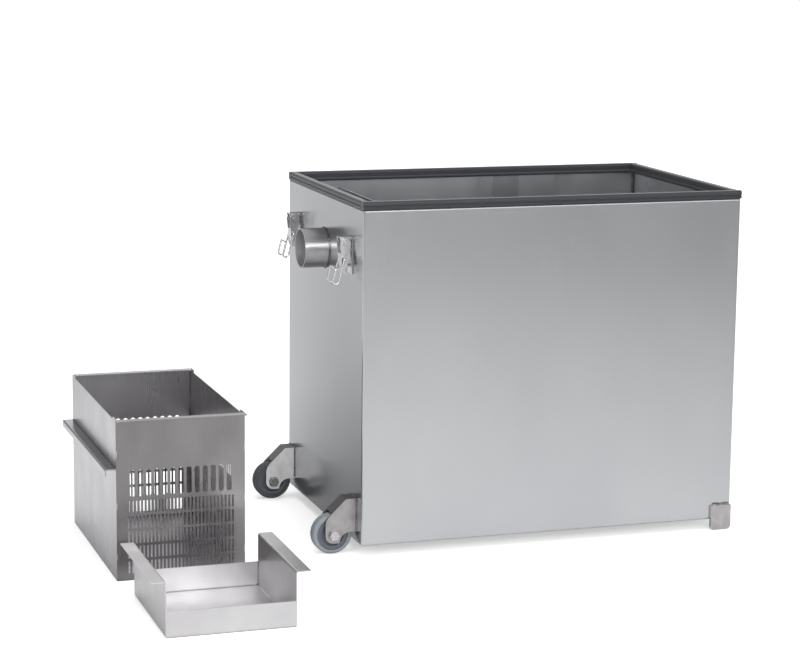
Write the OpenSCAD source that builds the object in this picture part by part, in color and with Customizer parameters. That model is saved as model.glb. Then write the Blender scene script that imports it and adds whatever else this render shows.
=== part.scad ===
// Grease trap of folded stainless steel sheet: an open tank on two castors and two feet, with a rubber
// strip round its rim, two toggle latches beside the inlet, and its strainer basket and tray set down
// beside it. X runs from the inlet end to the outlet end, Y from front to back, Z up from the floor.

/* [Tank] */
// Length of the tank
tank_l = 600; // [520:5:900]
// Width of the tank
tank_w = 400; // [380:5:700]
// Height of the tank's steel body
tank_h = 500; // [440:5:700]
// Thickness of the tank's sheet
tank_t = 2; // [1.5:0.1:3]
// Inside radius of the tank's bends
tank_bend = 1; // [0.5:0.5:4]
// Space between the floor and the underside of the tank
ground_gap = 17; // [12:1:24]
// Width of the rim that is folded inwards round the mouth
rim_w = 13; // [12:0.5:25]
// Radius of the mouth's corners
mouth_r = 4; // [2:0.5:10]

/* [Rim seal] */
// Width of the rubber strip
seal_w = 12.5; // [10:0.5:20]
// Height of the rubber strip
seal_h = 12; // [8:0.5:20]
// How far the strip stands proud of the wall below it
seal_proud = 0.8; // [0:0.1:2]
// Rounding of the strip's two top edges
seal_r = 3.5; // [1:0.5:4]
// Radius of the groove along the strip's outer side
seal_groove = 1.2; // [0.5:0.1:2]
// Height of that groove above the rim
seal_groove_z = 4.5; // [3:0.5:6]
// Gap where two strips meet at a corner
seal_gap = 1; // [0.3:0.1:3]

/* [Pipes] */
// Outside diameter of the inlet and outlet pipe
pipe_od = 60.3; // [40:0.1:90]
// Wall of the pipe
pipe_t = 2; // [1:0.1:4]
// How far each pipe stands out of the tank's end
stub_out = 38; // [30:1:90]
// Inlet's axis below the rim
inlet_drop = 82; // [70:1:140]
// Outlet's axis below the rim
outlet_drop = 102; // [80:1:180]
// Radius of the outlet's bend, on its axis
outlet_bend = 50; // [46:1:90]
// Straight length of the outlet inside the end wall
outlet_run = 10; // [2:1:60]
// Height of the dip pipe's mouth above the tank's floor
dip_gap = 110; // [60:5:180]

/* [Inlet hood and baffle] */
// Width of the hood in front of the inlet
hood_w = 252; // [120:2:320]
// Depth of the hood from the end wall
hood_d = 60; // [30:1:90]
// Height of the hood
hood_h = 150; // [120:1:220]
// Top of the hood below the rim
hood_drop = 6; // [5:1:30]
// Sheet thickness of the hood
hood_t = 1.5; // [1:0.1:3]
// Inside radius of the hood's bends
hood_bend = 2; // [0.5:0.5:6]
// Place of the baffle from the inlet end
baffle_x = 330; // [150:5:360]
// Thickness of the baffle
baffle_t = 2; // [1:0.1:4]
// Gap under the baffle
baffle_gap = 80; // [40:5:150]
// Top of the baffle below the rim
baffle_drop = 70; // [40:5:150]

/* [Feet] */
// Width of each foot plate
foot_w = 34; // [20:1:60]
// Height of each foot plate, from the floor
foot_h = 39; // [34:1:80]
// Thickness of each foot plate
foot_t = 4; // [2:0.5:8]
// Rounding of the foot's bottom corners
foot_r = 7; // [1:0.5:8]

/* [Castors] */
// Diameter of the wheel over its tyre
wheel_d = 60; // [56:1:66]
// Width of the tyre
wheel_w = 20; // [12:0.5:22]
// Thickness of the tyre
tyre_t = 6.5; // [4:0.5:9]
// Rounding of the tyre's edges
tyre_edge = 4; // [1:0.5:4]
// Diameter of the wheel's hub
hub_d = 20; // [16:1:24]
// Thickness of the core's disc
disc_w = 12; // [6:0.5:16]
// Width of the core's rim under the tyre, measured inwards
core_rim = 6; // [3:0.5:8]
// How much narrower the core's rim is than the tyre, on each side
core_inset = 1; // [0.5:0.25:2]
// Outside diameter of the axle's sleeve
sleeve_od = 12; // [11:0.5:14]
// Diameter of the axle bolt
bolt_d = 8; // [6:0.5:9]
// Width across the flats of the bolt's head and nut
hex_af = 13; // [12:0.5:17]
// Height of the bolt's head
head_h = 5.3; // [4:0.1:8]
// Height of the nut
nut_h = 6.5; // [4:0.1:9]
// Diameter of the washer under the bolt's head
washer_d = 16; // [14:0.5:20]
// Thickness of that washer
washer_t = 1.6; // [1:0.1:2.5]
// Length of bolt past the nut
bolt_tail = 2.5; // [1:0.5:6]
// Axle's distance out from the tank's end
axle_out = 35; // [34:1:50]
// Width of the fork over its cheeks
fork_w = 31; // [29:0.5:40]
// Sheet thickness of the fork
fork_t = 2.5; // [2:0.25:3.5]
// Top of the fork above the axle
fork_rise = 54; // [50:1:70]
// Lower edge of the fork at the tank's wall, above the axle
fork_low_rise = 3.5; // [-2:0.5:8]
// Length of the fork's level top
fork_flat = 16; // [10:1:20]
// Length of the sloping web
web_len = 30; // [10:1:30]
// Rounding of the fork's end round the axle
fork_end_r = 12.5; // [11:0.5:14]
// Rounding of the fork's shoulder
shoulder_r = 20; // [10:0.5:22]
// Height of that shoulder's centre above the axle
shoulder_rise = 15; // [4:1:16]
// Radius of the notch under each cheek
notch_r = 16; // [12:0.5:18]
// Distance of the notch's centre from the wall
notch_out = 10; // [8:0.5:14]
// Front wheel's middle from the tank's front face
castor_front_y = 40; // [24:1:120]
// Back wheel's middle from the tank's back face
castor_back_y = 20; // [16:1:120]
// Radial clearance of the wheel on its sleeve
run_fit = 0.05; // [0.02:0.01:0.1]
// Clearance of the bolt in the fork, the sleeve and the nut
seat_fit = 0.05; // [0.02:0.01:0.1]
// Layer of bond between the core and the tyre
tyre_bond = 0.3; // [0.1:0.05:0.5]
// Gap between the hub and each cheek
hub_gap = 0.5; // [0.3:0.1:1]

/* [Latches] */
// Distance of each latch from the tank's front or back
latch_edge = 62; // [50:1:110]
// Latch pin below the rim
latch_drop = 56; // [45:1:90]
// Latch pin's distance out from the wall
latch_out = 10.5; // [10:0.25:14]
// Width of the lever over its flanges
lever_w = 20; // [16:0.5:28]
// Sheet thickness of the latch
latch_t = 1.5; // [1:0.1:2]
// Radius of the lever's head
lever_head_r = 8; // [7.5:0.25:8.5]
// Radius of the lever's tip
lever_tip_r = 2.5; // [2:0.25:4]
// Length of the lever from its pin to its tip
lever_len = 40; // [38:1:70]
// How far out the tip lies from the pin
lever_tip_out = 2.5; // [0:0.5:4]
// Where the lever's web starts below its pin
lever_web_z = 14; // [14:0.5:16]
// Diameter of the latch pin
latch_pin_d = 4; // [3:0.25:5]
// Diameter of the latch pin's heads
latch_head_d = 6.6; // [6:0.1:9]
// Thickness of the latch pin's heads
latch_head_t = 1.2; // [0.8:0.1:2]
// Width of the latch's base plate
base_w = 22; // [18:0.5:30]
// Top of the base above the pin
base_up = 10; // [9.5:0.5:11]
// Base plate below the pin
base_down = 45; // [43:1:80]
// How far the base's roof reaches out past the pin
roof_out = 9; // [7:0.5:9]
// Radius of the base's ears round the pin
ear_r = 6; // [5:0.25:6.5]
// Depth of the stop at the base's foot
stop_out = 9.5; // [6:0.5:10]
// Height of the stop at the base's foot
stop_h = 13; // [8:0.5:16]
// Width of the stop
stop_w = 16; // [10:0.5:16]
// Inside radius of the stop's fold
stop_bend = 1; // [0.5:0.25:2]
// Side clearance between the ears and the lever
latch_gap = 0.3; // [0.2:0.05:0.6]
// Radial clearance of the lever and the bail on their pins
latch_fit = 0.06; // [0.02:0.01:0.1]

/* [Bails] */
// Diameter of the bail's wire
wire_d = 3; // [2:0.25:3.5]
// Bail's pivot below the latch pin
bail_down = 20; // [16:0.5:26]
// Bail's pivot out from the latch pin
bail_out = 3; // [2:0.25:3.25]
// Distance of each leg from the latch's middle
bail_leg_y = 13.5; // [13.5:0.25:18]
// Length of the bail's legs
bail_leg = 36; // [34:1:56]
// Radius of the wire's elbows
bail_elbow = 3; // [2.5:0.25:3]
// Radius of the bail's hooks
bail_hook_r = 4.5; // [4:0.5:7]
// Length of the wire's return from the hook
bail_return = 16; // [10:0.5:18]
// How far the wire's ends reach in past the lever's flanges
bail_end = 1; // [0.5:0.25:3]
// Lean of the hanging bail
bail_lean = 14; // [0:1:30]

/* [Basket] */
// Length of the basket along X
basket_l = 187; // [140:1:260]
// Width of the basket along Y
basket_w = 336; // [200:1:380]
// Height of the basket
basket_h = 235; // [220:1:320]
// Sheet thickness of the basket
basket_t = 1.5; // [1:0.1:2.5]
// Space between the basket and the tank's inlet end
basket_clear = 182; // [120:1:400]
// Basket's front from the tank's front
basket_y = -21; // [-200:1:100]
// Depth of the lips along the front and back
lip_d = 15; // [8:0.5:25]
// How much the back lip is cut short at each end
lip_trim = 3; // [3:0.25:6]
// Inside radius of the basket's folds
basket_bend = 1; // [0.5:0.25:2]
// How far the side walls are cut down between their ears
ear_drop = 4; // [1:0.5:8]
// Length of those ears
ear_l = 20; // [10:1:40]
// Height of the corner tabs
tab_h = 10; // [6:0.5:16]
// Lowest tab above the floor
tab_z = 30; // [20:1:40]
// Distance from tab to tab
tab_pitch = 75; // [50:1:80]
// Clearance round a tab
tab_fit = 0.1; // [0.05:0.05:0.3]
// Plain edge beside the slots
slot_edge = 14; // [10:0.5:24]
// Width of the tall slots
tall_w = 7.5; // [5:0.5:9]
// Height of the tall slots
tall_h = 39; // [24:1:44]
// Pitch of the tall slots
tall_pitch = 11.7; // [10:0.1:16]
// Lower end of the tall slots
tall_z = 122; // [120:1:130]
// Width of the narrow slots
narrow_w = 2.8; // [1.5:0.1:4]
// Height of the narrow slots
narrow_h = 18; // [12:0.5:20]
// Pitch of the narrow slots
narrow_pitch = 5.4; // [5:0.1:8]
// Lower end of the lowest narrow row
narrow_z = 10; // [8:0.5:12]
// Pitch of the narrow rows
row_pitch = 22; // [21:0.5:22]
// Number of narrow rows
row_n = 5; // [1:1:5]
// Height of the hook rail's top
hook_z = 164; // [120:1:200]
// How far the hook rail stands out
hook_out = 16; // [10:0.5:30]
// Depth of the hook rail's down-turned lip
hook_drop = 10; // [5:0.5:20]
// Sheet thickness of the hook rail
hook_t = 2; // [1:0.1:3]

/* [Tray] */
// Length of the tray along X
tray_l = 179; // [120:1:240]
// Width of the tray along Y
tray_w = 200; // [120:1:260]
// Height of the tray's front and back
tray_wall = 36; // [20:1:60]
// Height of the tray's ends
tray_end = 77; // [50:1:100]
// Width of the flanges on the tray's ends
tray_flange = 19; // [10:0.5:30]
// Sheet thickness of the tray
tray_t = 1.5; // [1:0.1:2.5]
// Inside radius of the tray's bends
tray_bend = 1.5; // [0.5:0.25:3]
// Space between the tray and the tank's inlet end
tray_clear = 181; // [120:1:400]
// Tray's front from the tank's front
tray_y = -296; // [-500:1:-225]

/* [Hidden] */
$fn = 64;
// How far a cut runs past the surface that it opens
past = 1;
// How far a straight edge lies inside the rounds that it joins
tuck = 0.02;

rim_z = ground_gap + tank_h;
pipe_r = pipe_od / 2;
pipe_bore = pipe_r - pipe_t;
pipe_y = tank_w / 2;
inlet_z = rim_z - inlet_drop;
outlet_z = rim_z - outlet_drop;
dip_x = tank_l - tank_t - outlet_run - outlet_bend;
dip_z = ground_gap + tank_t + dip_gap;
seal_end = seal_w - seal_proud + seal_gap;

wheel_r = wheel_d / 2;
axle_z = wheel_r;
core_r = wheel_r - tyre_t;
sleeve_r = sleeve_od / 2;
bolt_r = bolt_d / 2;
hex_r = hex_af / sqrt(3);
fork_in = fork_w / 2 - fork_t;
fork_top = axle_z + fork_rise;
fork_low = axle_z + fork_low_rise;
fork_nose = axle_out + fork_end_r;
shoulder = [fork_nose - shoulder_r, axle_z + shoulder_rise];
fork_knee = [fork_flat, fork_top];
fork_touch = touch(fork_knee, shoulder, shoulder_r);
castor_y = [castor_front_y, tank_w - castor_back_y];

latch_y = [latch_edge, tank_w - latch_edge];
latch_z = rim_z - latch_drop;
latch_pin_r = latch_pin_d / 2;
lever_in = lever_w / 2 - latch_t;
ear_out = lever_in - latch_gap;
lever_tip = [lever_tip_out, -lever_len];
wire_r = wire_d / 2;

basket_x = -basket_clear - basket_l;
tray_x = -tray_clear - tray_l;
set_x = [min(basket_x - hook_out, tray_x - tray_flange), tank_l + stub_out];
axle_end_y = castor_y[1] + fork_w / 2 + nut_h + bolt_tail;
set_y = [min(tray_y, basket_y - lip_d), max(tank_w + foot_t, axle_end_y)];
set_middle = [(set_x[0] + set_x[1]) / 2, (set_y[0] + set_y[1]) / 2, 0];

// Where the line from a point just touches a circle, on its outer side
function touch(p, c, r) =
    let (way = c - p, d = norm(way), turn = atan2(way.y, way.x) + asin(r / d))
    p + sqrt(d * d - r * r) * [cos(turn), sin(turn)];

// Unit normal, on the outer side, of the line that touches two circles
function side_normal(c1, r1, c2, r2, side) =
    let (way = c2 - c1, turn = atan2(way.y, way.x) + side * acos((r1 - r2) / norm(way)))
    [cos(turn), sin(turn)];

// Moves a piece from the tank's front corner on the floor to the middle of the whole set
module in_set() {
    translate(-set_middle) children();
}

// Rectangle from the origin with round corners
module soft_rect(l, w, r) {
    translate([r, 0]) square([l - 2 * r, w]);
    translate([0, r]) square([l, w - 2 * r]);
    for (x = [r, l - r], y = [r, w - r]) translate([x, y]) circle(r);
}

// Extrudes a drawing of X and Z along Y
module along_y(y, w) {
    translate([0, y + w, 0]) rotate([90, 0, 0]) linear_extrude(w) children();
}

// Extrudes a drawing of Y and Z along X
module along_x(x, l) {
    translate([x, 0, 0]) rotate([90, 0, 90]) linear_extrude(l) children();
}

// Round bars along X and along Y
module rod_x(r, x, l) {
    translate([x, 0, 0]) rotate([0, 90, 0]) cylinder(r = r, h = l);
}
module rod_y(r, y, l) {
    translate([0, y, 0]) rotate([-90, 0, 0]) cylinder(r = r, h = l);
}

// Box with all its edges bent to one radius
module bent_box(l, w, h, r) {
    intersection() {
        linear_extrude(h) soft_rect(l, w, r);
        along_y(0, w) soft_rect(l, h, r);
        along_x(0, l) soft_rect(w, h, r);
    }
}

// Section of folded sheet: a floor along X with a wall up from each end, to height b
module channel_2d(a, b, t, r) {
    intersection() {
        difference() {
            soft_rect(a, 2 * b, r + t);
            translate([t, t]) soft_rect(a - 2 * t, 2 * (b - t), r);
        }
        square([a, b]);
    }
}

// Section of folded sheet: legs along +X and +Y from an outer corner at the origin
module fold_2d(a, b, t, r) {
    intersection() {
        channel_2d(2 * a, b, t, r);
        square([a, b]);
    }
}

// Tank: folded and welded sheet with its rim turned inwards, and a hole in each end for a pipe
module tank_shell() {
    color("silver") in_set() difference() {
        translate([0, 0, ground_gap]) bent_box(tank_l, tank_w, tank_h, tank_bend + tank_t);
        translate([tank_t, tank_t, ground_gap + tank_t])
            bent_box(tank_l - 2 * tank_t, tank_w - 2 * tank_t, tank_h - 2 * tank_t, tank_bend);
        translate([rim_w, rim_w, rim_z - 2 * tank_t]) linear_extrude(3 * tank_t)
            soft_rect(tank_l - 2 * rim_w, tank_w - 2 * rim_w, mouth_r);
        translate([0, pipe_y, inlet_z]) rod_x(pipe_bore, -past, tank_t + 2 * past);
        translate([tank_l - tank_t, pipe_y, outlet_z]) rod_x(pipe_bore, -past, tank_t + 2 * past);
    }
}

// Section of the rubber strip, from its outer side inwards and upwards
module seal_2d() {
    difference() {
        union() {
            square([seal_w, seal_h - seal_r]);
            translate([seal_r, 0]) square([seal_w - 2 * seal_r, seal_h]);
            for (x = [seal_r, seal_w - seal_r]) translate([x, seal_h - seal_r]) circle(seal_r);
        }
        translate([0, seal_groove_z]) circle(seal_groove);
    }
}

// Strips of the rim seal: the long ones run from end to end, the short ones lie between them
module long_seal() {
    translate([0, -seal_proud, rim_z]) along_x(-seal_proud, tank_l + 2 * seal_proud) seal_2d();
}
module short_seal() {
    translate([-seal_proud, 0, rim_z]) along_y(seal_end, tank_w - 2 * seal_end) seal_2d();
}
module rim_seal_front() {
    color("dimgray") in_set() long_seal();
}
module rim_seal_back() {
    color("dimgray") in_set() translate([0, tank_w, 0]) mirror([0, 1, 0]) long_seal();
}
module rim_seal_left() {
    color("dimgray") in_set() short_seal();
}
module rim_seal_right() {
    color("dimgray") in_set() translate([tank_l, 0, 0]) mirror([1, 0, 0]) short_seal();
}

// Pipe stub welded round its end to the outside of an end wall
module stub() {
    difference() {
        rod_x(pipe_r, 0, stub_out);
        rod_x(pipe_bore, -past, stub_out + 2 * past);
    }
}
module inlet_stub() {
    color("gainsboro") in_set() translate([-stub_out, pipe_y, inlet_z]) stub();
}
module outlet_stub() {
    color("gainsboro") in_set() translate([tank_l, pipe_y, outlet_z]) stub();
}

// Hood round the inlet: a folded channel on end, open above and below, against the end wall
module inlet_hood() {
    color("silver") in_set()
        translate([tank_t, pipe_y + hood_w / 2, rim_z - hood_drop - hood_h])
            linear_extrude(hood_h) translate([hood_d, 0]) rotate(180) mirror([1, 0]) rotate(90)
                channel_2d(hood_w, hood_d, hood_t, hood_bend);
}

// Baffle between the basket's side and the outlet's side, welded to the front and back walls
module baffle_plate() {
    color("silver") in_set() translate([baffle_x, tank_t, ground_gap + tank_t + baffle_gap])
        cube([baffle_t, tank_w - 2 * tank_t, tank_h - tank_t - baffle_gap - baffle_drop]);
}

// Round bar along the dip pipe's way: in from the end wall, round a bend and down
module dip_way(r, longer) {
    knee = [dip_x + outlet_bend, pipe_y, outlet_z];
    translate(knee) rod_x(r, 0, outlet_run + longer);
    translate(knee - [0, 0, outlet_bend]) rotate([90, 0, 0]) rotate(90)
        rotate_extrude(angle = 90) translate([outlet_bend, 0]) circle(r);
    translate([dip_x, pipe_y, dip_z - longer])
        cylinder(r = r, h = outlet_z - outlet_bend - dip_z + longer);
}

// Dip pipe inside the outlet, which takes the water from below the grease
module outlet_dip() {
    color("gainsboro") in_set() difference() {
        dip_way(pipe_r, 0);
        dip_way(pipe_bore, past);
    }
}

// Foot plate on the face of the tank at its outlet end
module foot_plate() {
    translate([tank_l - foot_w, 0, 0]) along_y(-foot_t, foot_t) {
        soft_rect(foot_w, foot_h, foot_r);
        translate([0, foot_h / 2]) square([foot_w, foot_h / 2]);
    }
}
module foot_front() {
    color("silver") in_set() foot_plate();
}
module foot_back() {
    color("silver") in_set() translate([0, tank_w, 0]) mirror([0, 1, 0]) foot_plate();
}

// Outline of a fork's cheek, outwards from the wall and up from the floor
module cheek_2d() {
    difference() {
        union() {
            polygon([
                [0, fork_low], [0, fork_top], fork_knee, fork_touch, [fork_nose, shoulder.y],
                [fork_nose, axle_z], [axle_out, axle_z - fork_end_r],
                [notch_out, axle_z - fork_end_r], [notch_out, fork_low]
            ]);
            translate(shoulder) circle(shoulder_r);
            translate([axle_out, axle_z]) circle(fork_end_r);
        }
        translate([notch_out, fork_low - notch_r]) circle(notch_r);
        translate([axle_out, axle_z]) circle(bolt_r + seat_fit);
    }
}

// Outline of the web over the wheel: level at the wall, then sloping down
module web_2d() {
    slope = (fork_touch - fork_knee) / norm(fork_touch - fork_knee);
    under = [slope.y, -slope.x];
    inner_knee = fork_knee + fork_t * (under + [0, -1]) / (1 - under.y);
    tip = fork_knee + web_len * slope;
    polygon([
        [0, fork_top], fork_knee, tip, tip + fork_t * under, inner_knee, [0, fork_top - fork_t]
    ]);
}

// Fork of a castor: a folded channel welded to the end wall
module fork(y) {
    color("lightgray") in_set() translate([0, y, 0]) mirror([1, 0, 0]) {
        for (side = [-fork_w / 2, fork_in]) along_y(side, fork_t) cheek_2d();
        along_y(-fork_w / 2, fork_w) web_2d();
    }
}
module fork_front() {
    fork(castor_y[0]);
}
module fork_back() {
    fork(castor_y[1]);
}

// Puts a piece on a castor's axle
module on_axle(y) {
    in_set() translate([-axle_out, y, axle_z]) children();
}

// Axle bolt with its hexagon head in front of the fork
module axle_bolt(y) {
    seat = fork_w / 2 + washer_t;
    color("silver") on_axle(y) {
        translate([0, -seat, 0]) rotate([90, 0, 0]) cylinder(r = hex_r, h = head_h, $fn = 6);
        rod_y(bolt_r, -seat, seat + fork_w / 2 + nut_h + bolt_tail);
    }
}
module axle_bolt_front() {
    axle_bolt(castor_y[0]);
}
module axle_bolt_back() {
    axle_bolt(castor_y[1]);
}

// Washer between the bolt's head and the fork
module axle_washer(y) {
    color("silver") on_axle(y) translate([0, -fork_w / 2 - washer_t, 0]) difference() {
        rod_y(washer_d / 2, 0, washer_t);
        rod_y(bolt_r + seat_fit, -past, washer_t + 2 * past);
    }
}
module axle_washer_front() {
    axle_washer(castor_y[0]);
}
module axle_washer_back() {
    axle_washer(castor_y[1]);
}

// Nut behind the fork
module axle_nut(y) {
    color("silver") on_axle(y) difference() {
        translate([0, fork_w / 2, 0]) rotate([-90, 0, 0]) cylinder(r = hex_r, h = nut_h, $fn = 6);
        rod_y(bolt_r + seat_fit, fork_w / 2 - past, nut_h + 2 * past);
    }
}
module axle_nut_front() {
    axle_nut(castor_y[0]);
}
module axle_nut_back() {
    axle_nut(castor_y[1]);
}

// Sleeve between the cheeks, on which the wheel runs
module axle_sleeve(y) {
    color("silver") on_axle(y) difference() {
        rod_y(sleeve_r, -fork_in, 2 * fork_in);
        rod_y(bolt_r + seat_fit, -fork_in - past, 2 * (fork_in + past));
    }
}
module axle_sleeve_front() {
    axle_sleeve(castor_y[0]);
}
module axle_sleeve_back() {
    axle_sleeve(castor_y[1]);
}

// Core of a wheel: hub, disc and rim in one moulding
module wheel_core(y) {
    bore = sleeve_r + run_fit;
    hub_w = 2 * (fork_in - hub_gap);
    rim_width = wheel_w - 2 * core_inset;
    color("slategray") on_axle(y) rotate([90, 0, 0]) rotate_extrude() {
        translate([bore, -hub_w / 2]) square([hub_d / 2 - bore, hub_w]);
        translate([bore, -disc_w / 2]) square([core_r - bore, disc_w]);
        translate([core_r - core_rim, -rim_width / 2]) square([core_rim, rim_width]);
    }
}
module wheel_core_front() {
    wheel_core(castor_y[0]);
}
module wheel_core_back() {
    wheel_core(castor_y[1]);
}

// Tyre: a rubber ring with round edges
module tyre(y) {
    inner = core_r + tyre_bond;
    color("lightslategray") on_axle(y) rotate([90, 0, 0]) rotate_extrude() intersection() {
        translate([inner, -wheel_w / 2]) square([wheel_r - inner, wheel_w]);
        translate([wheel_r - wheel_w, -wheel_w / 2]) soft_rect(wheel_w, wheel_w, tyre_edge);
    }
}
module tyre_front() {
    tyre(castor_y[0]);
}
module tyre_back() {
    tyre(castor_y[1]);
}

// Puts a piece at a latch's pin, drawn outwards from the wall along +X
module at_latch(y) {
    in_set() translate([-latch_out, y, latch_z]) mirror([1, 0, 0]) children();
}

// Outline of the base's ear, from the wall out to the edge of the roof
module ear_2d() {
    difference() {
        union() {
            translate([-latch_out, -ear_r]) square([latch_out, base_up + ear_r]);
            circle(ear_r);
            polygon([[0, base_up], [roof_out, base_up], [roof_out, base_up - latch_t], [ear_r, 0], [0, 0]]);
        }
        circle(latch_pin_r);
    }
}

// Base of a latch: a plate on the wall, a roof with two ears that hold the pin, and a stop at its foot
module latch_base(y) {
    color("lightgray") at_latch(y) {
        translate([-latch_out, -base_w / 2, -base_down]) cube([latch_t, base_w, base_down + base_up]);
        for (side = [-ear_out, ear_out - latch_t]) along_y(side, latch_t) ear_2d();
        translate([-latch_out, -ear_out, base_up - latch_t])
            cube([latch_out + roof_out, 2 * ear_out, latch_t]);
        along_y(-stop_w / 2, stop_w) translate([stop_out - latch_out, stop_h - base_down])
            rotate(180) fold_2d(stop_out, stop_h, latch_t, stop_bend);
    }
}
module latch_base_front() {
    latch_base(latch_y[0]);
}
module latch_base_back() {
    latch_base(latch_y[1]);
}

// Pin of a latch, riveted over at both ends
module latch_pin(y) {
    reach = lever_w / 2 + latch_gap;
    color("gainsboro") at_latch(y) {
        rod_y(latch_pin_r, -reach, 2 * reach);
        for (end = [-reach - latch_head_t, reach]) rod_y(latch_head_d / 2, end, latch_head_t);
    }
}
module latch_pin_front() {
    latch_pin(latch_y[0]);
}
module latch_pin_back() {
    latch_pin(latch_y[1]);
}

// Outline of the lever's flange: a round head at the pin that narrows to a round tip
module flange_2d() {
    outer = side_normal([0, 0], lever_head_r, lever_tip, lever_tip_r, 1);
    inner = side_normal([0, 0], lever_head_r, lever_tip, lever_tip_r, -1);
    difference() {
        union() {
            circle(lever_head_r);
            translate(lever_tip) circle(lever_tip_r);
            polygon([
                (lever_head_r - tuck) * outer, lever_tip + (lever_tip_r - tuck) * outer,
                lever_tip + (lever_tip_r - tuck) * inner, (lever_head_r - tuck) * inner
            ]);
        }
        circle(latch_pin_r + latch_fit);
        translate([bail_out, -bail_down]) circle(wire_r + latch_fit);
    }
}

// Outline of the lever's web, along the outer edge of its flanges
module lever_web_2d() {
    outer = side_normal([0, 0], lever_head_r, lever_tip, lever_tip_r, 1);
    foot = lever_tip + (lever_tip_r - tuck) * outer;
    along = [-outer.y, outer.x];
    top = foot + along * (-lever_web_z - foot.y) / along.y;
    polygon([top, foot, foot - latch_t * outer, top - latch_t * outer]);
}

// Lever of a latch: a channel that folds down against the base
module latch_lever(y) {
    color("whitesmoke") at_latch(y) {
        for (side = [-lever_w / 2, lever_in]) along_y(side, latch_t) flange_2d();
        along_y(-lever_w / 2, lever_w) lever_web_2d();
        translate([lever_tip.x, 0, lever_tip.y]) rod_y(lever_tip_r, -lever_w / 2, lever_w);
    }
}
module latch_lever_front() {
    latch_lever(latch_y[0]);
}
module latch_lever_back() {
    latch_lever(latch_y[1]);
}

// Quarter or half turn of the bail's wire
module wire_bend(r, turn) {
    rotate_extrude(angle = turn) translate([r, 0]) circle(wire_r);
}

// Half of a bail that hangs straight down from its pivot: end, leg, hook, return and cross wire
module half_bail() {
    end = lever_in - bail_end;
    straight = bail_leg_y - bail_elbow;
    rod_y(wire_r, end, straight - end);
    translate([0, straight, -bail_elbow]) rotate([90, 0, 90]) wire_bend(bail_elbow, 90);
    translate([0, bail_leg_y, -bail_leg]) cylinder(r = wire_r, h = bail_leg - bail_elbow);
    translate([bail_hook_r, bail_leg_y, -bail_leg]) {
        rotate([90, 0, 0]) rotate(180) wire_bend(bail_hook_r, 180);
        translate([bail_hook_r, 0, 0]) {
            cylinder(r = wire_r, h = bail_return);
            translate([0, -bail_elbow, bail_return]) rotate([90, 0, 90]) wire_bend(bail_elbow, 90);
            translate([0, -bail_leg_y, bail_return + bail_elbow]) rod_y(wire_r, 0, straight);
        }
    }
}

// Bail of a latch: one bent wire that swings in the lever's flanges
module latch_bail(y) {
    color("whitesmoke") at_latch(y) translate([bail_out, 0, -bail_down]) rotate([0, -bail_lean, 0]) {
        half_bail();
        mirror([0, 1, 0]) half_bail();
    }
}
module latch_bail_front() {
    latch_bail(latch_y[0]);
}
module latch_bail_back() {
    latch_bail(latch_y[1]);
}

// Puts a piece at the basket's front left corner on the floor
module at_basket() {
    in_set() translate([basket_x, basket_y, 0]) children();
}

// Row of places at one pitch, centred on a wall
function row(l, w, pitch) =
    let (n = floor((l - 2 * slot_edge - w) / pitch))
    [for (i = [0:n]) (l - n * pitch) / 2 + i * pitch];

// Slots of one wall: a row of tall ones with round ends over rows of narrow ones
module slots_2d(l) {
    for (x = row(l, tall_w, tall_pitch)) {
        translate([x - tall_w / 2, tall_z + tall_w / 2]) square([tall_w, tall_h - tall_w]);
        for (z = [tall_w / 2, tall_h - tall_w / 2]) translate([x, tall_z + z]) circle(tall_w / 2);
    }
    for (x = row(l, narrow_w, narrow_pitch), i = [0:row_n - 1])
        translate([x - narrow_w / 2, narrow_z + i * row_pitch]) square([narrow_w, narrow_h]);
}

// Heights of the corner tabs
tab_rows = [for (i = [0:2]) tab_z + i * tab_pitch];

// Front and back walls: slotted sheets with a lip folded forwards and notches for the side walls' tabs
module slotted_wall(trim) {
    lip_fold = basket_t + basket_bend;
    along_y(0, basket_t) difference() {
        square([basket_l, basket_h - lip_fold]);
        slots_2d(basket_l);
        for (x = [-past, basket_l - basket_t - tab_fit], z = tab_rows)
            translate([x, z - tab_fit]) square([basket_t + tab_fit + past, tab_h + 2 * tab_fit]);
    }
    along_x(trim, basket_l - 2 * trim) translate([basket_t, basket_h]) rotate(180)
        fold_2d(lip_d + basket_t, 2 * lip_fold, basket_t, basket_bend);
}
module basket_front() {
    color("darkgray") at_basket() slotted_wall(0);
}
module basket_back() {
    color("darkgray") at_basket() translate([0, basket_w - basket_t, 0]) slotted_wall(lip_trim);
}

// Outline of a side wall, with ears at its upper corners and tabs at its ends
module side_2d() {
    l = basket_w - 2 * basket_t;
    difference() {
        square([l, basket_h]);
        translate([ear_l, basket_h - ear_drop]) square([l - 2 * ear_l, ear_drop + past]);
    }
    for (z = tab_rows) translate([-basket_t, z]) square([basket_w, tab_h]);
}
module basket_left() {
    color("darkgray") at_basket() translate([0, basket_t, 0]) along_x(0, basket_t) side_2d();
}
module basket_right() {
    color("darkgray") at_basket() translate([0, basket_t, 0]) along_x(basket_l - basket_t, basket_t)
        difference() {
            side_2d();
            slots_2d(basket_w - 2 * basket_t);
        }
}

// Floor of the basket, welded inside its walls
module basket_floor() {
    color("darkgray") at_basket() translate([basket_t, basket_t, 0])
        cube([basket_l - 2 * basket_t, basket_w - 2 * basket_t, basket_t]);
}

// Hook rail along the basket's plain side
module basket_hook() {
    color("darkgray") at_basket() along_y(0, basket_w) translate([-hook_out, hook_z]) mirror([0, 1])
        fold_2d(hook_out, hook_drop, hook_t, basket_bend);
}

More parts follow.
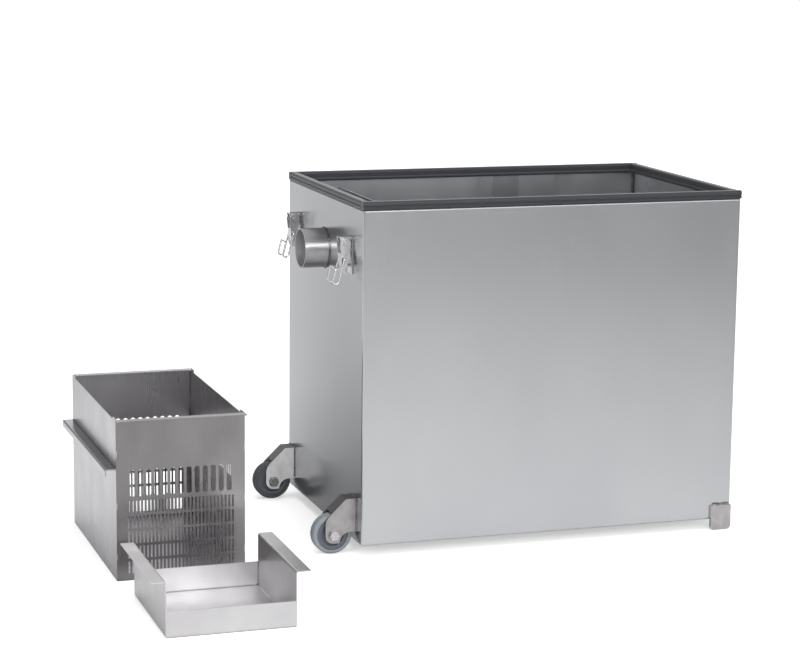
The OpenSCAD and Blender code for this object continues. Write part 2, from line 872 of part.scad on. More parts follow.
// Tray: one folded sheet with low sides, higher ends and a flange out from each end
module tray() {
    turn = tray_t + tray_bend;
    color("silver") in_set() translate([tray_x, tray_y, 0]) {
        along_y(0, tray_w) {
            intersection() {
                channel_2d(tray_l, tray_end, tray_t, tray_bend);
                square([tray_l, tray_end - turn]);
            }
            for (end = [0, 1]) translate([end * tray_l, 0]) mirror([end, 0])
                translate([tray_t, tray_end]) rotate(180)
                    fold_2d(tray_flange + tray_t, 2 * turn, tray_t, tray_bend);
        }
        for (y = [0, tray_w - tray_t]) translate([tray_t, y, tray_t / 2])
            cube([tray_l - 2 * tray_t, tray_t, tray_wall - tray_t / 2]);
    }
}

tank_shell();
rim_seal_front();
rim_seal_back();
rim_seal_left();
rim_seal_right();
inlet_stub();
inlet_hood();
baffle_plate();
outlet_stub();
outlet_dip();
foot_front();
foot_back();
fork_front();
fork_back();
axle_bolt_front();
axle_bolt_back();
axle_nut_front();
axle_nut_back();
axle_washer_front();
axle_washer_back();
axle_sleeve_front();
axle_sleeve_back();
wheel_core_front();
wheel_core_back();
tyre_front();
tyre_back();
latch_base_front();
latch_base_back();
latch_pin_front();
latch_pin_back();
latch_lever_front();
latch_lever_back();
latch_bail_front();
latch_bail_back();
basket_front();
basket_back();
basket_left();
basket_right();
basket_floor();
basket_hook();
tray();
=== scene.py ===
import math
import bpy
from mathutils import Matrix, Vector


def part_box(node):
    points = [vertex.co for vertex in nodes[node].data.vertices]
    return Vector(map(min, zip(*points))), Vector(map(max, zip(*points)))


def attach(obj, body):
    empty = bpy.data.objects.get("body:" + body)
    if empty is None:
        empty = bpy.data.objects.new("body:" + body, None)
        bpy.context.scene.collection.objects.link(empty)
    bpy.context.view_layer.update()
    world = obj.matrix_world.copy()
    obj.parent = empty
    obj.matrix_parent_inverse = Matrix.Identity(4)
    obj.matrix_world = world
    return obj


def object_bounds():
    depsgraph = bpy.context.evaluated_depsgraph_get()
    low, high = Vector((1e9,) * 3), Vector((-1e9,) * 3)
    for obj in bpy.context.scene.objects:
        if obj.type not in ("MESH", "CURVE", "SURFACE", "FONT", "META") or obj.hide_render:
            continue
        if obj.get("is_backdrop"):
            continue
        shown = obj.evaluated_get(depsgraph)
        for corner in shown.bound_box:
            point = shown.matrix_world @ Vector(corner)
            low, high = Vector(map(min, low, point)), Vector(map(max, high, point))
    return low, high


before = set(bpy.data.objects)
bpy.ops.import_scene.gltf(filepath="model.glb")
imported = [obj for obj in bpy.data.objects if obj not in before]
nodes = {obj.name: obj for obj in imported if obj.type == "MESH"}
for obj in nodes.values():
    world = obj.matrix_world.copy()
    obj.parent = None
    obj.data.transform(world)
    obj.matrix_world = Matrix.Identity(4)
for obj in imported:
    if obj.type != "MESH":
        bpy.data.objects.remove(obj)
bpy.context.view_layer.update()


# Tank: 2 mm stainless sheet, folded into an open box, welded at its corners, with its rim turned inwards.
# The mill finish mirrors the surroundings softly, with a faint upright grain from the rolling. The inside
# was pickled after the welding, so it is duller there, with upright stains where the acid ran down.
def linear(code):
    """An sRGB hex colour as linear values."""
    parts = [int(code[i:i + 2], 16) / 255 for i in (1, 3, 5)]
    return tuple(c / 12.92 if c <= 0.04045 else ((c + 0.055) / 1.055) ** 2.4 for c in parts) + (1.0,)


def add(tree, kind, sockets=None, **settings):
    """Adds a shader node, sets its properties, then sets or links its inputs."""
    made = tree.nodes.new(kind)
    for name, value in settings.items():
        setattr(made, name, value)
    for name, value in (sockets or {}).items():
        if isinstance(value, bpy.types.NodeSocket):
            tree.links.new(value, made.inputs[name])
        else:
            made.inputs[name].default_value = value
    return made


def blank(name):
    """A new material that holds only its output, with its node tree and that output."""
    material = bpy.data.materials.new(name)
    material.use_nodes = True
    tree = material.node_tree
    tree.nodes.clear()
    return material, tree, add(tree, "ShaderNodeOutputMaterial")


def per_metre(sizes_mm):
    """How many grains of these lengths, in millimetres, lie in a metre of X, Y and Z."""
    return [1000 / size for size in sizes_mm]


# nearly all of a noise lies between these two values
noise_low, noise_high = 0.3, 0.7
grain_height = 0.0002
# the dark grey of the painted shade where faces meet
grease = "#3b3a3a"


def sheet_steel(name, light, dark, rough, grain_mm, cloud_mm, swing=0.03, depth=0.02, gap_mm=0.0):
    """Stainless steel: two close tones in clouds, a directional grain in its gloss and its surface, and a
    painted shade of dark grey where two faces meet closer than a gap."""
    material, tree, out = blank(name)
    place = add(tree, "ShaderNodeTexCoord").outputs["Object"]
    cloud_place = add(tree, "ShaderNodeMapping", {"Vector": place, "Scale": per_metre(cloud_mm)})
    cloud = add(tree, "ShaderNodeTexNoise", {
        "Vector": cloud_place.outputs["Vector"], "Scale": 1.0, "Detail": 3.0,
        "Roughness": 0.5}).outputs["Fac"]
    grain_place = add(tree, "ShaderNodeMapping", {"Vector": place, "Scale": per_metre(grain_mm)})
    grain = add(tree, "ShaderNodeTexNoise", {
        "Vector": grain_place.outputs["Vector"], "Scale": 1.0, "Detail": 3.0,
        "Roughness": 0.6}).outputs["Fac"]
    share = add(tree, "ShaderNodeMapRange", {"Value": cloud, "From Min": noise_low, "From Max": noise_high})
    # a mix node has one set of sockets per kind of data, so they go by place: 2 and 3 are mixed as numbers
    # into output 0, and 6 and 7 as colours into output 2
    tone = add(tree, "ShaderNodeMix", {
        0: share.outputs["Result"], 6: linear(light), 7: linear(dark)}, data_type="RGBA").outputs[2]
    # painted shade: the tone goes to dark grey where ambient occlusion finds faces closer than the gap
    if gap_mm:
        air = add(tree, "ShaderNodeAmbientOcclusion", {"Distance": gap_mm / 1000}, samples=8)
        clean = add(tree, "ShaderNodeMapRange", {
            "Value": air.outputs["AO"], "From Min": 0.35, "From Max": 0.8})
        tone = add(tree, "ShaderNodeMix", {
            0: clean.outputs["Result"], 6: linear(grease), 7: tone}, data_type="RGBA").outputs[2]
    wiped = add(tree, "ShaderNodeMapRange", {
        "Value": cloud, "From Min": noise_low, "From Max": noise_high,
        "To Min": rough - swing, "To Max": rough + swing})
    brushed = add(tree, "ShaderNodeMapRange", {
        "Value": grain, "From Min": noise_low, "From Max": noise_high, "To Min": -swing, "To Max": swing})
    gloss = add(tree, "ShaderNodeMath", {
        0: wiped.outputs["Result"], 1: brushed.outputs["Result"]}, operation="ADD")
    bump = add(tree, "ShaderNodeBump", {"Height": grain, "Strength": depth, "Distance": grain_height})
    steel = add(tree, "ShaderNodeBsdfPrincipled", {
        "Base Color": tone, "Metallic": 1.0, "Roughness": gloss.outputs[0],
        "Normal": bump.outputs["Normal"]}, name="steel")
    tree.links.new(steel.outputs["BSDF"], out.inputs["Surface"])
    return material


def matt_where(material, within, rough):
    """Gives a steel another roughness where a mask is 1, as pickling does inside a welded piece."""
    tree = material.node_tree
    gloss = tree.nodes["steel"].inputs["Roughness"]
    polished = gloss.links[0].from_socket
    finish = add(tree, "ShaderNodeMix", {0: within, 2: polished, 3: rough})
    tree.links.new(finish.outputs[0], gloss)


def dress(material, *names):
    """Gives CAD nodes their material."""
    for name in names:
        nodes[name].data.materials.clear()
        nodes[name].data.materials.append(material)


wall = 0.002
tank_low, tank_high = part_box("tank_shell")
tank_middle = [(low + high) / 2 for low, high in zip(tank_low, tank_high)]
tank_half = [(high - low) / 2 for low, high in zip(tank_low, tank_high)]
# rolling and brush lines are tenths of a millimetre wide, and here and below they are drawn coarser, to show
tank_steel = sheet_steel(
    "mill finish stainless sheet", light="#cfd0d2", dark="#c6c8cb", rough=0.20, grain_mm=(2, 2, 120),
    cloud_mm=(160, 160, 260), swing=0.02)
tree = tank_steel.node_tree
place = add(tree, "ShaderNodeTexCoord").outputs["Object"]
# the mask is 1 on every face that lies further in than the middle of the walls
from_middle = add(tree, "ShaderNodeVectorMath", {0: place, 1: tank_middle}, operation="SUBTRACT")
reach = add(tree, "ShaderNodeVectorMath", {0: from_middle.outputs["Vector"]}, operation="ABSOLUTE")
axes = add(tree, "ShaderNodeSeparateXYZ", {"Vector": reach.outputs["Vector"]})
long_way = add(tree, "ShaderNodeMath", {
    0: axes.outputs["X"], 1: tank_half[0] - wall / 2}, operation="LESS_THAN")
cross_way = add(tree, "ShaderNodeMath", {
    0: axes.outputs["Y"], 1: tank_half[1] - wall / 2}, operation="LESS_THAN")
within = add(tree, "ShaderNodeMath", {0: long_way.outputs[0], 1: cross_way.outputs[0]}, operation="MULTIPLY")
stain_mm = (40, 40, 200)
stain_place = add(tree, "ShaderNodeMapping", {"Vector": place, "Scale": per_metre(stain_mm)})
stains = add(tree, "ShaderNodeTexNoise", {
    "Vector": stain_place.outputs["Vector"], "Scale": 1.0, "Detail": 1.0, "Roughness": 0.5})
dull = add(tree, "ShaderNodeMapRange", {
    "Value": stains.outputs["Fac"], "From Min": 0.2, "From Max": 0.8, "To Min": 0.24, "To Max": 0.36})
matt_where(tank_steel, within.outputs[0], dull.outputs["Result"])
dress(tank_steel, "tank_shell")

# Corner welds of the tank: one bead of stainless filler down each inner corner, laid by hand and left as it
# is. The drops catch the light, and the heat has mottled them from mid grey to dark grey.
weld_steel = sheet_steel(
    "heat tinted weld", light="#a3a09f", dark="#5f5b5b", rough=0.34, grain_mm=(2, 2, 2), cloud_mm=(5, 5, 5),
    swing=0.05, depth=0.1)


def pick_upright_edges(piece, tall):
    """Opens a piece in edit mode with only those edges selected that rise by over half of its height."""
    bpy.ops.object.mode_set(mode="EDIT")
    bpy.ops.mesh.select_mode(type="EDGE")
    bpy.ops.mesh.select_all(action="DESELECT")
    bpy.ops.object.mode_set(mode="OBJECT")
    for edge in piece.data.edges:
        start, end = (piece.data.vertices[i].co.z for i in edge.vertices)
        edge.select = abs(end - start) > tall / 2
    bpy.ops.object.mode_set(mode="EDIT")


def ripple(bead, wide):
    """Makes a bead uneven, with drops about half as long as it is wide, and finishes it."""
    drop_height = 0.4 * wide
    drops = bpy.data.textures.get("weld drops") or bpy.data.textures.new("weld drops", "CLOUDS")
    drops.noise_scale = wide / 2
    lump = bead.modifiers.new("drops", "DISPLACE")
    lump.texture = drops
    lump.texture_coords = "LOCAL"
    lump.strength = drop_height
    bpy.ops.object.modifier_apply(modifier=lump.name)
    bpy.ops.object.transform_apply(location=True, rotation=True, scale=True)
    bpy.ops.object.shade_smooth()
    bead.data.materials.append(weld_steel)
    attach(bead, "tank")


bead_sides = 10
rings_per_width = 3
# the subdivide operator makes no more cuts than this
most_cuts = 100


def weld_bead(name, start, end, wide):
    """A rippled bead from start to end that rides on the tank."""
    way = Vector(end) - Vector(start)
    bpy.ops.object.select_all(action="DESELECT")
    bpy.ops.mesh.primitive_cylinder_add(
        vertices=bead_sides, radius=wide / 2, depth=way.length, location=(Vector(start) + Vector(end)) / 2,
        rotation=way.to_track_quat("Z", "Y").to_euler())
    bead = bpy.context.object
    bead.name = name
    pick_upright_edges(bead, way.length)
    bpy.ops.mesh.subdivide(number_cuts=min(most_cuts, int(way.length / wide * rings_per_width)))
    bpy.ops.object.mode_set(mode="OBJECT")
    ripple(bead, wide)


seam = 0.003
# a little less than half of the bead's width, so that it bites into both walls
inset = wall + 0.45 * seam
for side, x in (("inlet", tank_low[0] + inset), ("outlet", tank_high[0] - inset)):
    for end, y in (("front", tank_low[1] + inset), ("back", tank_high[1] - inset)):
        weld_bead(f"corner_weld_{side}_{end}", (x, y, tank_low[2] + wall), (x, y, tank_high[2] - wall), seam)

# Inlet hood and baffle: the same stainless sheet as the tank's, the hood folded to a channel and the baffle
# cut flat. Both are welded in and pickled with the tank's inside, which leaves them evenly dull.
inner_steel = sheet_steel(
    "pickled stainless sheet", light="#cbccd0", dark="#bfc0c5", rough=0.32, grain_mm=(2, 2, 60),
    cloud_mm=(90, 90, 120))
dress(inner_steel, "inlet_hood", "baffle_plate")

# Pipe stubs and dip pipe: drawn stainless tube, set in holes in the end walls and welded on the outside. It
# shines along its length, with short streaks from the drawing, and a dark ring of weld stands at each root.
# The inlet's bore is pickled, and much duller than its outside.
tube_finish = dict(light="#c9c8ca", dark="#b7b6b9", rough=0.32, grain_mm=(30, 3, 3), cloud_mm=(25, 40, 40))
tube_wall = 0.002
bore_rough = 0.75
pipe_steel = sheet_steel("drawn stainless tube", **tube_finish)
dress(pipe_steel, "outlet_stub", "outlet_dip")
inlet_steel = sheet_steel("drawn stainless inlet tube", **tube_finish)
low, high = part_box("inlet_stub")
tree = inlet_steel.node_tree
place = add(tree, "ShaderNodeTexCoord").outputs["Object"]
axis = (0.0, (low[1] + high[1]) / 2, (low[2] + high[2]) / 2)
from_axis = add(tree, "ShaderNodeVectorMath", {0: place, 1: axis}, operation="SUBTRACT")
outwards = add(tree, "ShaderNodeVectorMath", {
    0: from_axis.outputs["Vector"], 1: (0, 1, 1)}, operation="MULTIPLY")
radius = add(tree, "ShaderNodeVectorMath", {0: outwards.outputs["Vector"]}, operation="LENGTH")
within = add(tree, "ShaderNodeMath", {
    0: radius.outputs["Value"], 1: (high[2] - low[2] - tube_wall) / 2}, operation="LESS_THAN")
matt_where(inlet_steel, within.outputs[0], bore_rough)
dress(inlet_steel, "inlet_stub")
ring_wide = 0.0035
ring_steps = 160
for pipe, x in (("inlet", tank_low[0]), ("outlet", tank_high[0])):
    low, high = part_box(f"{pipe}_stub")
    bpy.ops.object.select_all(action="DESELECT")
    bpy.ops.mesh.primitive_torus_add(
        location=(x, (low[1] + high[1]) / 2, (low[2] + high[2]) / 2), rotation=(0, math.pi / 2, 0),
        major_radius=(high[2] - low[2]) / 2, minor_radius=ring_wide / 2, major_segments=ring_steps,
        minor_segments=bead_sides)
    ring = bpy.context.object
    ring.name = f"{pipe}_weld"
    ripple(ring, ring_wide)


# Rim seal: four strips of black rubber, glued on the rim with their ends butted at the corners.
# The rubber is satin, with a fine tooth from the extruder and a thin grey bloom from age.
def rubber(name, light, dark, rough, grain_mm, tooth_mm, bloom=0.0):
    """Moulded rubber or plastic: two close tones, a fine tooth, and the dusty bloom of old rubber."""
    material, tree, out = blank(name)
    place = add(tree, "ShaderNodeTexCoord").outputs["Object"]
    grain_place = add(tree, "ShaderNodeMapping", {"Vector": place, "Scale": per_metre(grain_mm)})
    grain = add(tree, "ShaderNodeTexNoise", {
        "Vector": grain_place.outputs["Vector"], "Scale": 1.0, "Detail": 4.0,
        "Roughness": 0.6}).outputs["Fac"]
    share = add(tree, "ShaderNodeMapRange", {"Value": grain, "From Min": noise_low, "From Max": noise_high})
    tone = add(tree, "ShaderNodeMix", {
        0: share.outputs["Result"], 6: linear(light), 7: linear(dark)}, data_type="RGBA")
    bump = add(tree, "ShaderNodeBump", {"Height": grain, "Strength": 0.2, "Distance": tooth_mm / 1000})
    skin = add(tree, "ShaderNodeBsdfPrincipled", {
        "Base Color": tone.outputs[2], "Roughness": rough, "Normal": bump.outputs["Normal"],
        "Sheen Weight": bloom, "Sheen Roughness": 0.4})
    tree.links.new(skin.outputs["BSDF"], out.inputs["Surface"])
    return material


seal_rubber = rubber(
    "black sealing rubber", light="#313338", dark="#292b2f", rough=0.34, grain_mm=(3, 3, 3), tooth_mm=0.05,
    bloom=0.12)
dress(seal_rubber, "rim_seal_front", "rim_seal_back", "rim_seal_left", "rim_seal_right")

# Rim lip: one thin edging of the same rubber, pushed over the inner edge of the rim, inside the four strips.
# It is bent round the corners in one length, and its edges are soft.
lip_start = 0.0115
lip_wide = 0.0022
lip_tall = 0.005
lip_sink = 0.0003
lip_corner = 0.005
corner_steps = 6
lip_edge = 0.0007
lip_shading = math.radians(40)
bpy.ops.object.select_all(action="DESELECT")
bpy.ops.mesh.primitive_cube_add(size=2, location=(tank_middle[0], tank_middle[1], tank_high[2] - lip_sink))
lip = bpy.context.object
lip.name = "rim_lip"
lip.scale = (tank_half[0] - lip_start, tank_half[1] - lip_start, lip_tall / 2)
bpy.ops.object.transform_apply(location=True, rotation=True, scale=True)
bpy.ops.object.mode_set(mode="EDIT")
bpy.ops.mesh.select_mode(type="FACE")
bpy.ops.mesh.select_all(action="DESELECT")
bpy.ops.object.mode_set(mode="OBJECT")
for face in lip.data.polygons:
    # the top and the bottom, which leaves a band of four walls
    face.select = abs(face.normal.z) > 0.5
bpy.ops.object.mode_set(mode="EDIT")
bpy.ops.mesh.delete(type="ONLY_FACE")
bpy.ops.object.mode_set(mode="OBJECT")
pick_upright_edges(lip, lip_tall)
bpy.ops.mesh.bevel(offset=lip_corner, segments=corner_steps, affect="EDGES")
bpy.ops.object.mode_set(mode="OBJECT")
thick = lip.modifiers.new("thickness", "SOLIDIFY")
thick.thickness = lip_wide
thick.offset = -1
bpy.ops.object.modifier_apply(modifier=thick.name)
soft_edge = lip.modifiers.new("soft edge", "BEVEL")
soft_edge.width = lip_edge
soft_edge.segments = 2
bpy.ops.object.modifier_apply(modifier=soft_edge.name)
bpy.ops.object.shade_smooth_by_angle(angle=lip_shading)
lip.data.materials.append(seal_rubber)
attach(lip, "tank")

# Feet: flat stainless plates with round corners, welded to the tank's long walls along their top edges.
# They were ground by hand, which leaves them a little darker and cloudier than the walls.
foot_steel = sheet_steel(
    "ground foot plate", light="#c3c1c2", dark="#aeabad", rough=0.28, grain_mm=(2, 2, 12),
    cloud_mm=(14, 14, 18), swing=0.04)
dress(foot_steel, "foot_front", "foot_back")
foot_bead = 0.007
for end in ("front", "back"):
    low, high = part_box(f"foot_{end}")
    # the face that lies on the tank's wall
    y = high[1] if end == "front" else low[1]
    weld_bead(
        f"foot_weld_{end}", (low[0] + foot_bead / 2, y, high[2]), (high[0] - foot_bead / 2, y, high[2]),
        foot_bead)

# Castor forks: one sheet each, bent over the wheel and welded to the end wall down both cheeks and across
# the top. The outer faces of the cheeks keep the sheet's tone, and the bent tops and all other faces are
# coloured darker. The front fork has a satin finish, and the back one is a paler, rougher copy of it, a
# painted highlight.
fork_grain = dict(grain_mm=(3, 3, 10), cloud_mm=(14, 14, 20), swing=0.04)
fork_steel = sheet_steel("satin fork sheet", light="#b3b0b0", dark="#9b9899", rough=0.40, **fork_grain)
# painted highlight: the back fork is the same sheet, coloured paler
blasted_steel = sheet_steel("blasted fork sheet", light="#f4f3f4", dark="#e2e1e2", rough=0.90, **fork_grain)
# the pale copy is set only partly metallic, so that its painted pale tone shows
blasted_steel.node_tree.nodes["steel"].inputs["Metallic"].default_value = 0.4
# the darker tone given to every face but the outer cheeks
heat_dark = "#8b8888"
face_depth = 0.0004
cheek_foot = 0.0365
fork_bead = 0.003
for fork, material in (("fork_front", fork_steel), ("fork_back", blasted_steel)):
    low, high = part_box(fork)
    tree = material.node_tree
    colour = tree.nodes["steel"].inputs["Base Color"]
    bright = colour.links[0].from_socket
    place = add(tree, "ShaderNodeTexCoord").outputs["Object"]
    axes = add(tree, "ShaderNodeSeparateXYZ", {"Vector": place})
    off = add(tree, "ShaderNodeMath", {
        0: axes.outputs["Y"], 1: (low[1] + high[1]) / 2}, operation="SUBTRACT")
    apart = add(tree, "ShaderNodeMath", {0: off.outputs[0]}, operation="ABSOLUTE")
    cheek = add(tree, "ShaderNodeMath", {
        0: apart.outputs[0], 1: (high[1] - low[1]) / 2 - face_depth}, operation="GREATER_THAN")
    tint = add(tree, "ShaderNodeMix", {
        0: cheek.outputs[0], 6: linear(heat_dark), 7: bright}, data_type="RGBA")
    tree.links.new(tint.outputs[2], colour)
    dress(material, fork)
    for side, y in (("near", low[1]), ("far", high[1])):
        weld_bead(f"{fork}_weld_{side}", (high[0], y, cheek_foot), (high[0], y, high[2]), fork_bead)
    weld_bead(f"{fork}_weld_top", (high[0], low[1], high[2]), (high[0], high[1], high[2]), fork_bead)

# Axles: hexagon bolts with washers and nuts, each through a sleeve that the wheel turns on.
# They are steel with a bright, even zinc plating, and a painted shade darkens the gaps between them.
bolt_steel = sheet_steel(
    "zinc-plated steel", light="#d3d3d4", dark="#bcbcbf", rough=0.25, grain_mm=(3, 3, 3), cloud_mm=(8, 8, 8),
    gap_mm=3)
for end in ("front", "back"):
    dress(bolt_steel, f"axle_bolt_{end}", f"axle_nut_{end}", f"axle_sleeve_{end}", f"axle_washer_{end}")

# Wheels: a tyre of grey rubber, bonded on a core of moulded plastic that turns on the sleeve.
# Both are matt, with a fine tooth from the mould, and the back tyre is a darker copy of the grey rubber,
# painted shade.
tyre_rubber = rubber(
    "grey tyre rubber", light="#8b9197", dark="#7c8288", rough=0.55, grain_mm=(4, 4, 4), tooth_mm=0.1)
# painted shade: the back tyre is the same rubber, coloured darker
worn_rubber = rubber(
    "darkened tyre rubber", light="#55575a", dark="#46484b", rough=0.6, grain_mm=(4, 4, 4), tooth_mm=0.1)
core_plastic = rubber(
    "dark grey wheel plastic", light="#5f636b", dark="#52565d", rough=0.5, grain_mm=(6, 6, 6), tooth_mm=0.05)
dress(tyre_rubber, "tyre_front")
dress(worn_rubber, "tyre_back")
dress(core_plastic, "wheel_core_front", "wheel_core_back")

# Toggle latches: a base and a lever, pressed from stainless sheet and hinged on a riveted pin, with a bail
# bent from one wire. Tumbling has rounded their edges and left them bright, with a painted shade of dark
# grey in the gaps.
latch_steel = sheet_steel(
    "polished latch stainless", light="#f2f2f3", dark="#e2e2e4", rough=0.24, grain_mm=(3, 3, 12),
    cloud_mm=(10, 10, 10), gap_mm=5)
tumbled_edge = 0.0004
same_point = 0.00001
sharp_edge = math.radians(40)
for end in ("front", "back"):
    pressed = (f"latch_base_{end}", f"latch_lever_{end}")
    dress(latch_steel, *pressed, f"latch_pin_{end}", f"latch_bail_{end}")
    for name in pressed:
        joined = nodes[name].modifiers.new("joined", "WELD")
        joined.merge_threshold = same_point
        tumbled = nodes[name].modifiers.new("tumbled", "BEVEL")
        tumbled.width = tumbled_edge
        tumbled.segments = 2
        tumbled.limit_method = "ANGLE"
        tumbled.angle_limit = sharp_edge
        tumbled.harden_normals = True

# Strainer basket: stainless sheets, punched with slots, tabbed together and welded at the corners, with a
# folded hook along one side. They were brushed upwards to a soft shine, and the front is a darker copy of
# the same sheet, painted shade.
basket_finish = dict(grain_mm=(3, 3, 60), cloud_mm=(60, 60, 110), swing=0.012, depth=0.006, gap_mm=4)
basket_steel = sheet_steel(
    "brushed basket sheet", light="#bcbabd", dark="#acaaae", rough=0.28, **basket_finish)
# painted shade: the front is the basket sheet coloured darker
front_steel = sheet_steel(
    "ground basket front", light="#979595", dark="#868485", rough=0.26, **basket_finish)
dress(basket_steel, "basket_back", "basket_left", "basket_right", "basket_floor", "basket_hook")
dress(front_steel, "basket_front")

# Tray: one stainless sheet, folded up on four sides, with two high ends whose tops are turned outwards.
# It was brushed one way, so it has a pale, silky shine, with painted shade in its folds.
tray_steel = sheet_steel(
    "brushed tray sheet", light="#d9d8d9", dark="#cdcbcd", rough=0.36, grain_mm=(60, 2, 2),
    cloud_mm=(60, 60, 60), gap_mm=4)
dress(tray_steel, "tray")

# Studio: a pale floor under a white surround. Metal sees the floor greyer, and the surround dimmer on the
# left, as where a studio's white paper ends. The light comes from three soft lamps: overhead, which metal
# doesn't mirror, at the front, and at the front left.
floor_wide = 24
bpy.ops.object.select_all(action="DESELECT")
bpy.ops.mesh.primitive_plane_add(size=floor_wide)
floor = bpy.context.object
floor.name = "floor"
floor_paint, tree, out = blank("pale studio floor")
place = add(tree, "ShaderNodeTexCoord").outputs["Object"]
axes = add(tree, "ShaderNodeSeparateXYZ", {"Vector": place})
path = add(tree, "ShaderNodeLightPath")
# in metal, the floor ahead of the tank goes from mid grey far off to pale close by
front = add(tree, "ShaderNodeMapRange", {
    "Value": axes.outputs["Y"], "From Min": -3.2, "From Max": -0.1, "To Min": 0.40, "To Max": 0.78})
# further back it is pale, with a dim band of painted shade that runs from the tank's front left corner, back
# and to the left, seen only in metal, where the tank's left wall mirrors it near its front edge
band_turn = math.radians(17.35)
band_half = 0.27
across = (math.cos(band_turn), math.sin(band_turn), 0.0)
corner = across[0] * tank_low[0] + across[1] * tank_low[1]
along = add(tree, "ShaderNodeVectorMath", {0: place, 1: across}, operation="DOT_PRODUCT")
off = add(tree, "ShaderNodeMath", {0: along.outputs["Value"], 1: corner}, operation="SUBTRACT")
apart = add(tree, "ShaderNodeMath", {0: off.outputs[0]}, operation="ABSOLUTE")
band = add(tree, "ShaderNodeMapRange", {
    "Value": apart.outputs[0], "From Min": 0.0, "From Max": band_half, "To Min": 0.28, "To Max": 0.88},
    interpolation_type="SMOOTHSTEP")
behind = add(tree, "ShaderNodeMapRange", {"Value": axes.outputs["Y"], "From Min": 0.0, "From Max": 0.15})
grey = add(tree, "ShaderNodeMix", {
    0: behind.outputs["Result"], 2: front.outputs["Result"], 3: band.outputs["Result"]}).outputs[0]
mirrored = add(tree, "ShaderNodeCombineColor", {"Red": grey, "Green": grey, "Blue": grey})
shade = add(tree, "ShaderNodeMix", {
    0: path.outputs["Is Glossy Ray"], 6: linear("#f4f4f4"), 7: mirrored.outputs["Color"]}, data_type="RGBA")
matt = add(tree, "ShaderNodeBsdfDiffuse", {"Color": shade.outputs[2]})
# far off, where the lamps fall off, the floor is lifted to white for the eye, and less so in metal
away = add(tree, "ShaderNodeVectorMath", {0: place}, operation="LENGTH")
far = add(tree, "ShaderNodeMapRange", {
    "Value": away.outputs["Value"], "From Min": 0.8, "From Max": 3.0, "To Min": 0.45, "To Max": 0.85})
seen = add(tree, "ShaderNodeMath", {
    0: path.outputs["Is Camera Ray"], 1: far.outputs["Result"]}, operation="MULTIPLY")
# in metal the floor behind the tank also glows, more the further back: a painted reflection of light
glint = add(tree, "ShaderNodeMapRange", {
    "Value": axes.outputs["Y"], "From Min": 0.0, "From Max": 1.2, "To Min": 0.0, "To Max": 0.4})
toned = add(tree, "ShaderNodeMath", {0: glint.outputs["Result"], 1: grey}, operation="MULTIPLY")
total = add(tree, "ShaderNodeMath", {
    0: path.outputs["Is Glossy Ray"], 1: toned.outputs[0], 2: seen.outputs[0]}, operation="MULTIPLY_ADD")
lift = add(tree, "ShaderNodeEmission", {"Color": (1, 1, 1, 1), "Strength": total.outputs[0]})
both = add(tree, "ShaderNodeAddShader", {0: matt.outputs["BSDF"], 1: lift.outputs["Emission"]})
tree.links.new(both.outputs["Shader"], out.inputs["Surface"])
floor.data.materials.append(floor_paint)
floor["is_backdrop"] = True

world = bpy.data.worlds.new("white surround")
bpy.context.scene.world = world
world.use_nodes = True
tree = world.node_tree
tree.nodes.clear()
out = add(tree, "ShaderNodeOutputWorld")
way = add(tree, "ShaderNodeSeparateXYZ", {"Vector": add(tree, "ShaderNodeTexCoord").outputs["Generated"]})
# brightest at the horizon, and dim on the left
height = add(tree, "ShaderNodeMapRange", {
    "Value": way.outputs["Z"], "From Min": 0.0, "From Max": 0.8, "To Min": 1.05, "To Max": 0.65})
side = add(tree, "ShaderNodeMapRange", {
    "Value": way.outputs["X"], "From Min": -0.2, "From Max": 0.1, "To Min": 0.3, "To Max": 1.0})
level = add(tree, "ShaderNodeMath", {
    0: height.outputs["Result"], 1: side.outputs["Result"]}, operation="MULTIPLY")
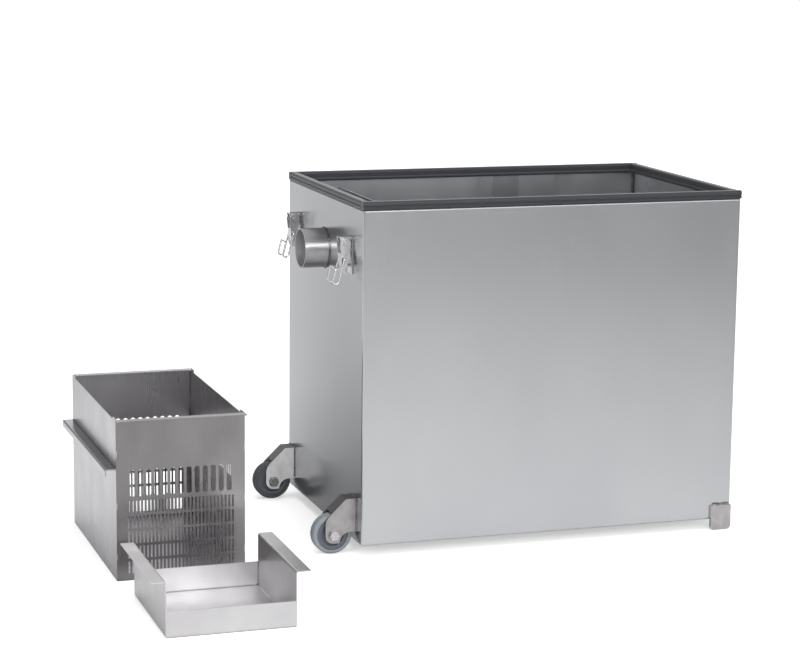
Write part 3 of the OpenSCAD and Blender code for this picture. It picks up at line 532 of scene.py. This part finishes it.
# a glow low down, straight ahead of the tank's front
ahead = add(tree, "ShaderNodeMapRange", {
    "Value": way.outputs["Y"], "From Min": -0.6, "From Max": -0.95, "To Min": 0.0, "To Max": 1.0})
low_down = add(tree, "ShaderNodeMapRange", {
    "Value": way.outputs["Z"], "From Min": 0.35, "From Max": 0.05, "To Min": 0.0, "To Max": 0.9})
glow = add(tree, "ShaderNodeMath", {
    0: ahead.outputs["Result"], 1: low_down.outputs["Result"], 2: level.outputs[0]},
    operation="MULTIPLY_ADD")
path = add(tree, "ShaderNodeLightPath")
shown = add(tree, "ShaderNodeMix", {0: path.outputs["Is Camera Ray"], 2: glow.outputs[0], 3: 1.0})
sky = add(tree, "ShaderNodeBackground", {"Color": (1, 1, 1, 1), "Strength": shown.outputs[0]})
tree.links.new(sky.outputs["Background"], out.inputs["Surface"])


def soft_light(place, aim, wide, tall, power):
    """A rectangular soft lamp that faces a point."""
    bpy.ops.object.light_add(type="AREA", location=place)
    lamp = bpy.context.object
    lamp.data.shape = "RECTANGLE"
    lamp.data.size = wide
    lamp.data.size_y = tall
    lamp.data.energy = power
    lamp.rotation_euler = (Vector(aim) - lamp.location).to_track_quat("-Z", "Y").to_euler()
    lamp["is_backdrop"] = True
    return lamp


overhead = soft_light(place=(-0.2, -0.4, 2.8), aim=(0.0, 0.0, 0.2), wide=2.4, tall=2.0, power=44)
overhead.visible_glossy = False
soft_light(place=(-0.3, -3.4, 1.7), aim=(0.0, 0.0, 0.2), wide=2.2, tall=1.0, power=45)
soft_light(place=(-2.4, -1.8, 1.7), aim=(-0.1, 0.0, 0.3), wide=1.3, tall=1.3, power=26)

# Camera: a long lens about three and a half metres away, where the photograph was taken from.
# It stands to the front left and looks down a little, with a slight roll.
pan = Matrix.Rotation(math.radians(-18.30), 3, "Z")
tilt = Matrix.Rotation(math.radians(79.68), 3, "X")
roll = Matrix.Rotation(math.radians(0.61), 3, "Z")
camera = bpy.data.objects.new("camera", bpy.data.cameras.new("camera"))
bpy.context.scene.collection.objects.link(camera)
camera.location = (-1.1156, -3.21685, 0.9482)
camera.rotation_euler = (pan @ tilt @ roll).to_euler()
camera.data.sensor_width = 36
camera.data.lens = 104.4
bpy.context.scene.camera = camera
bpy.context.scene.view_settings.view_transform = "Standard"

low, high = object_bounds()
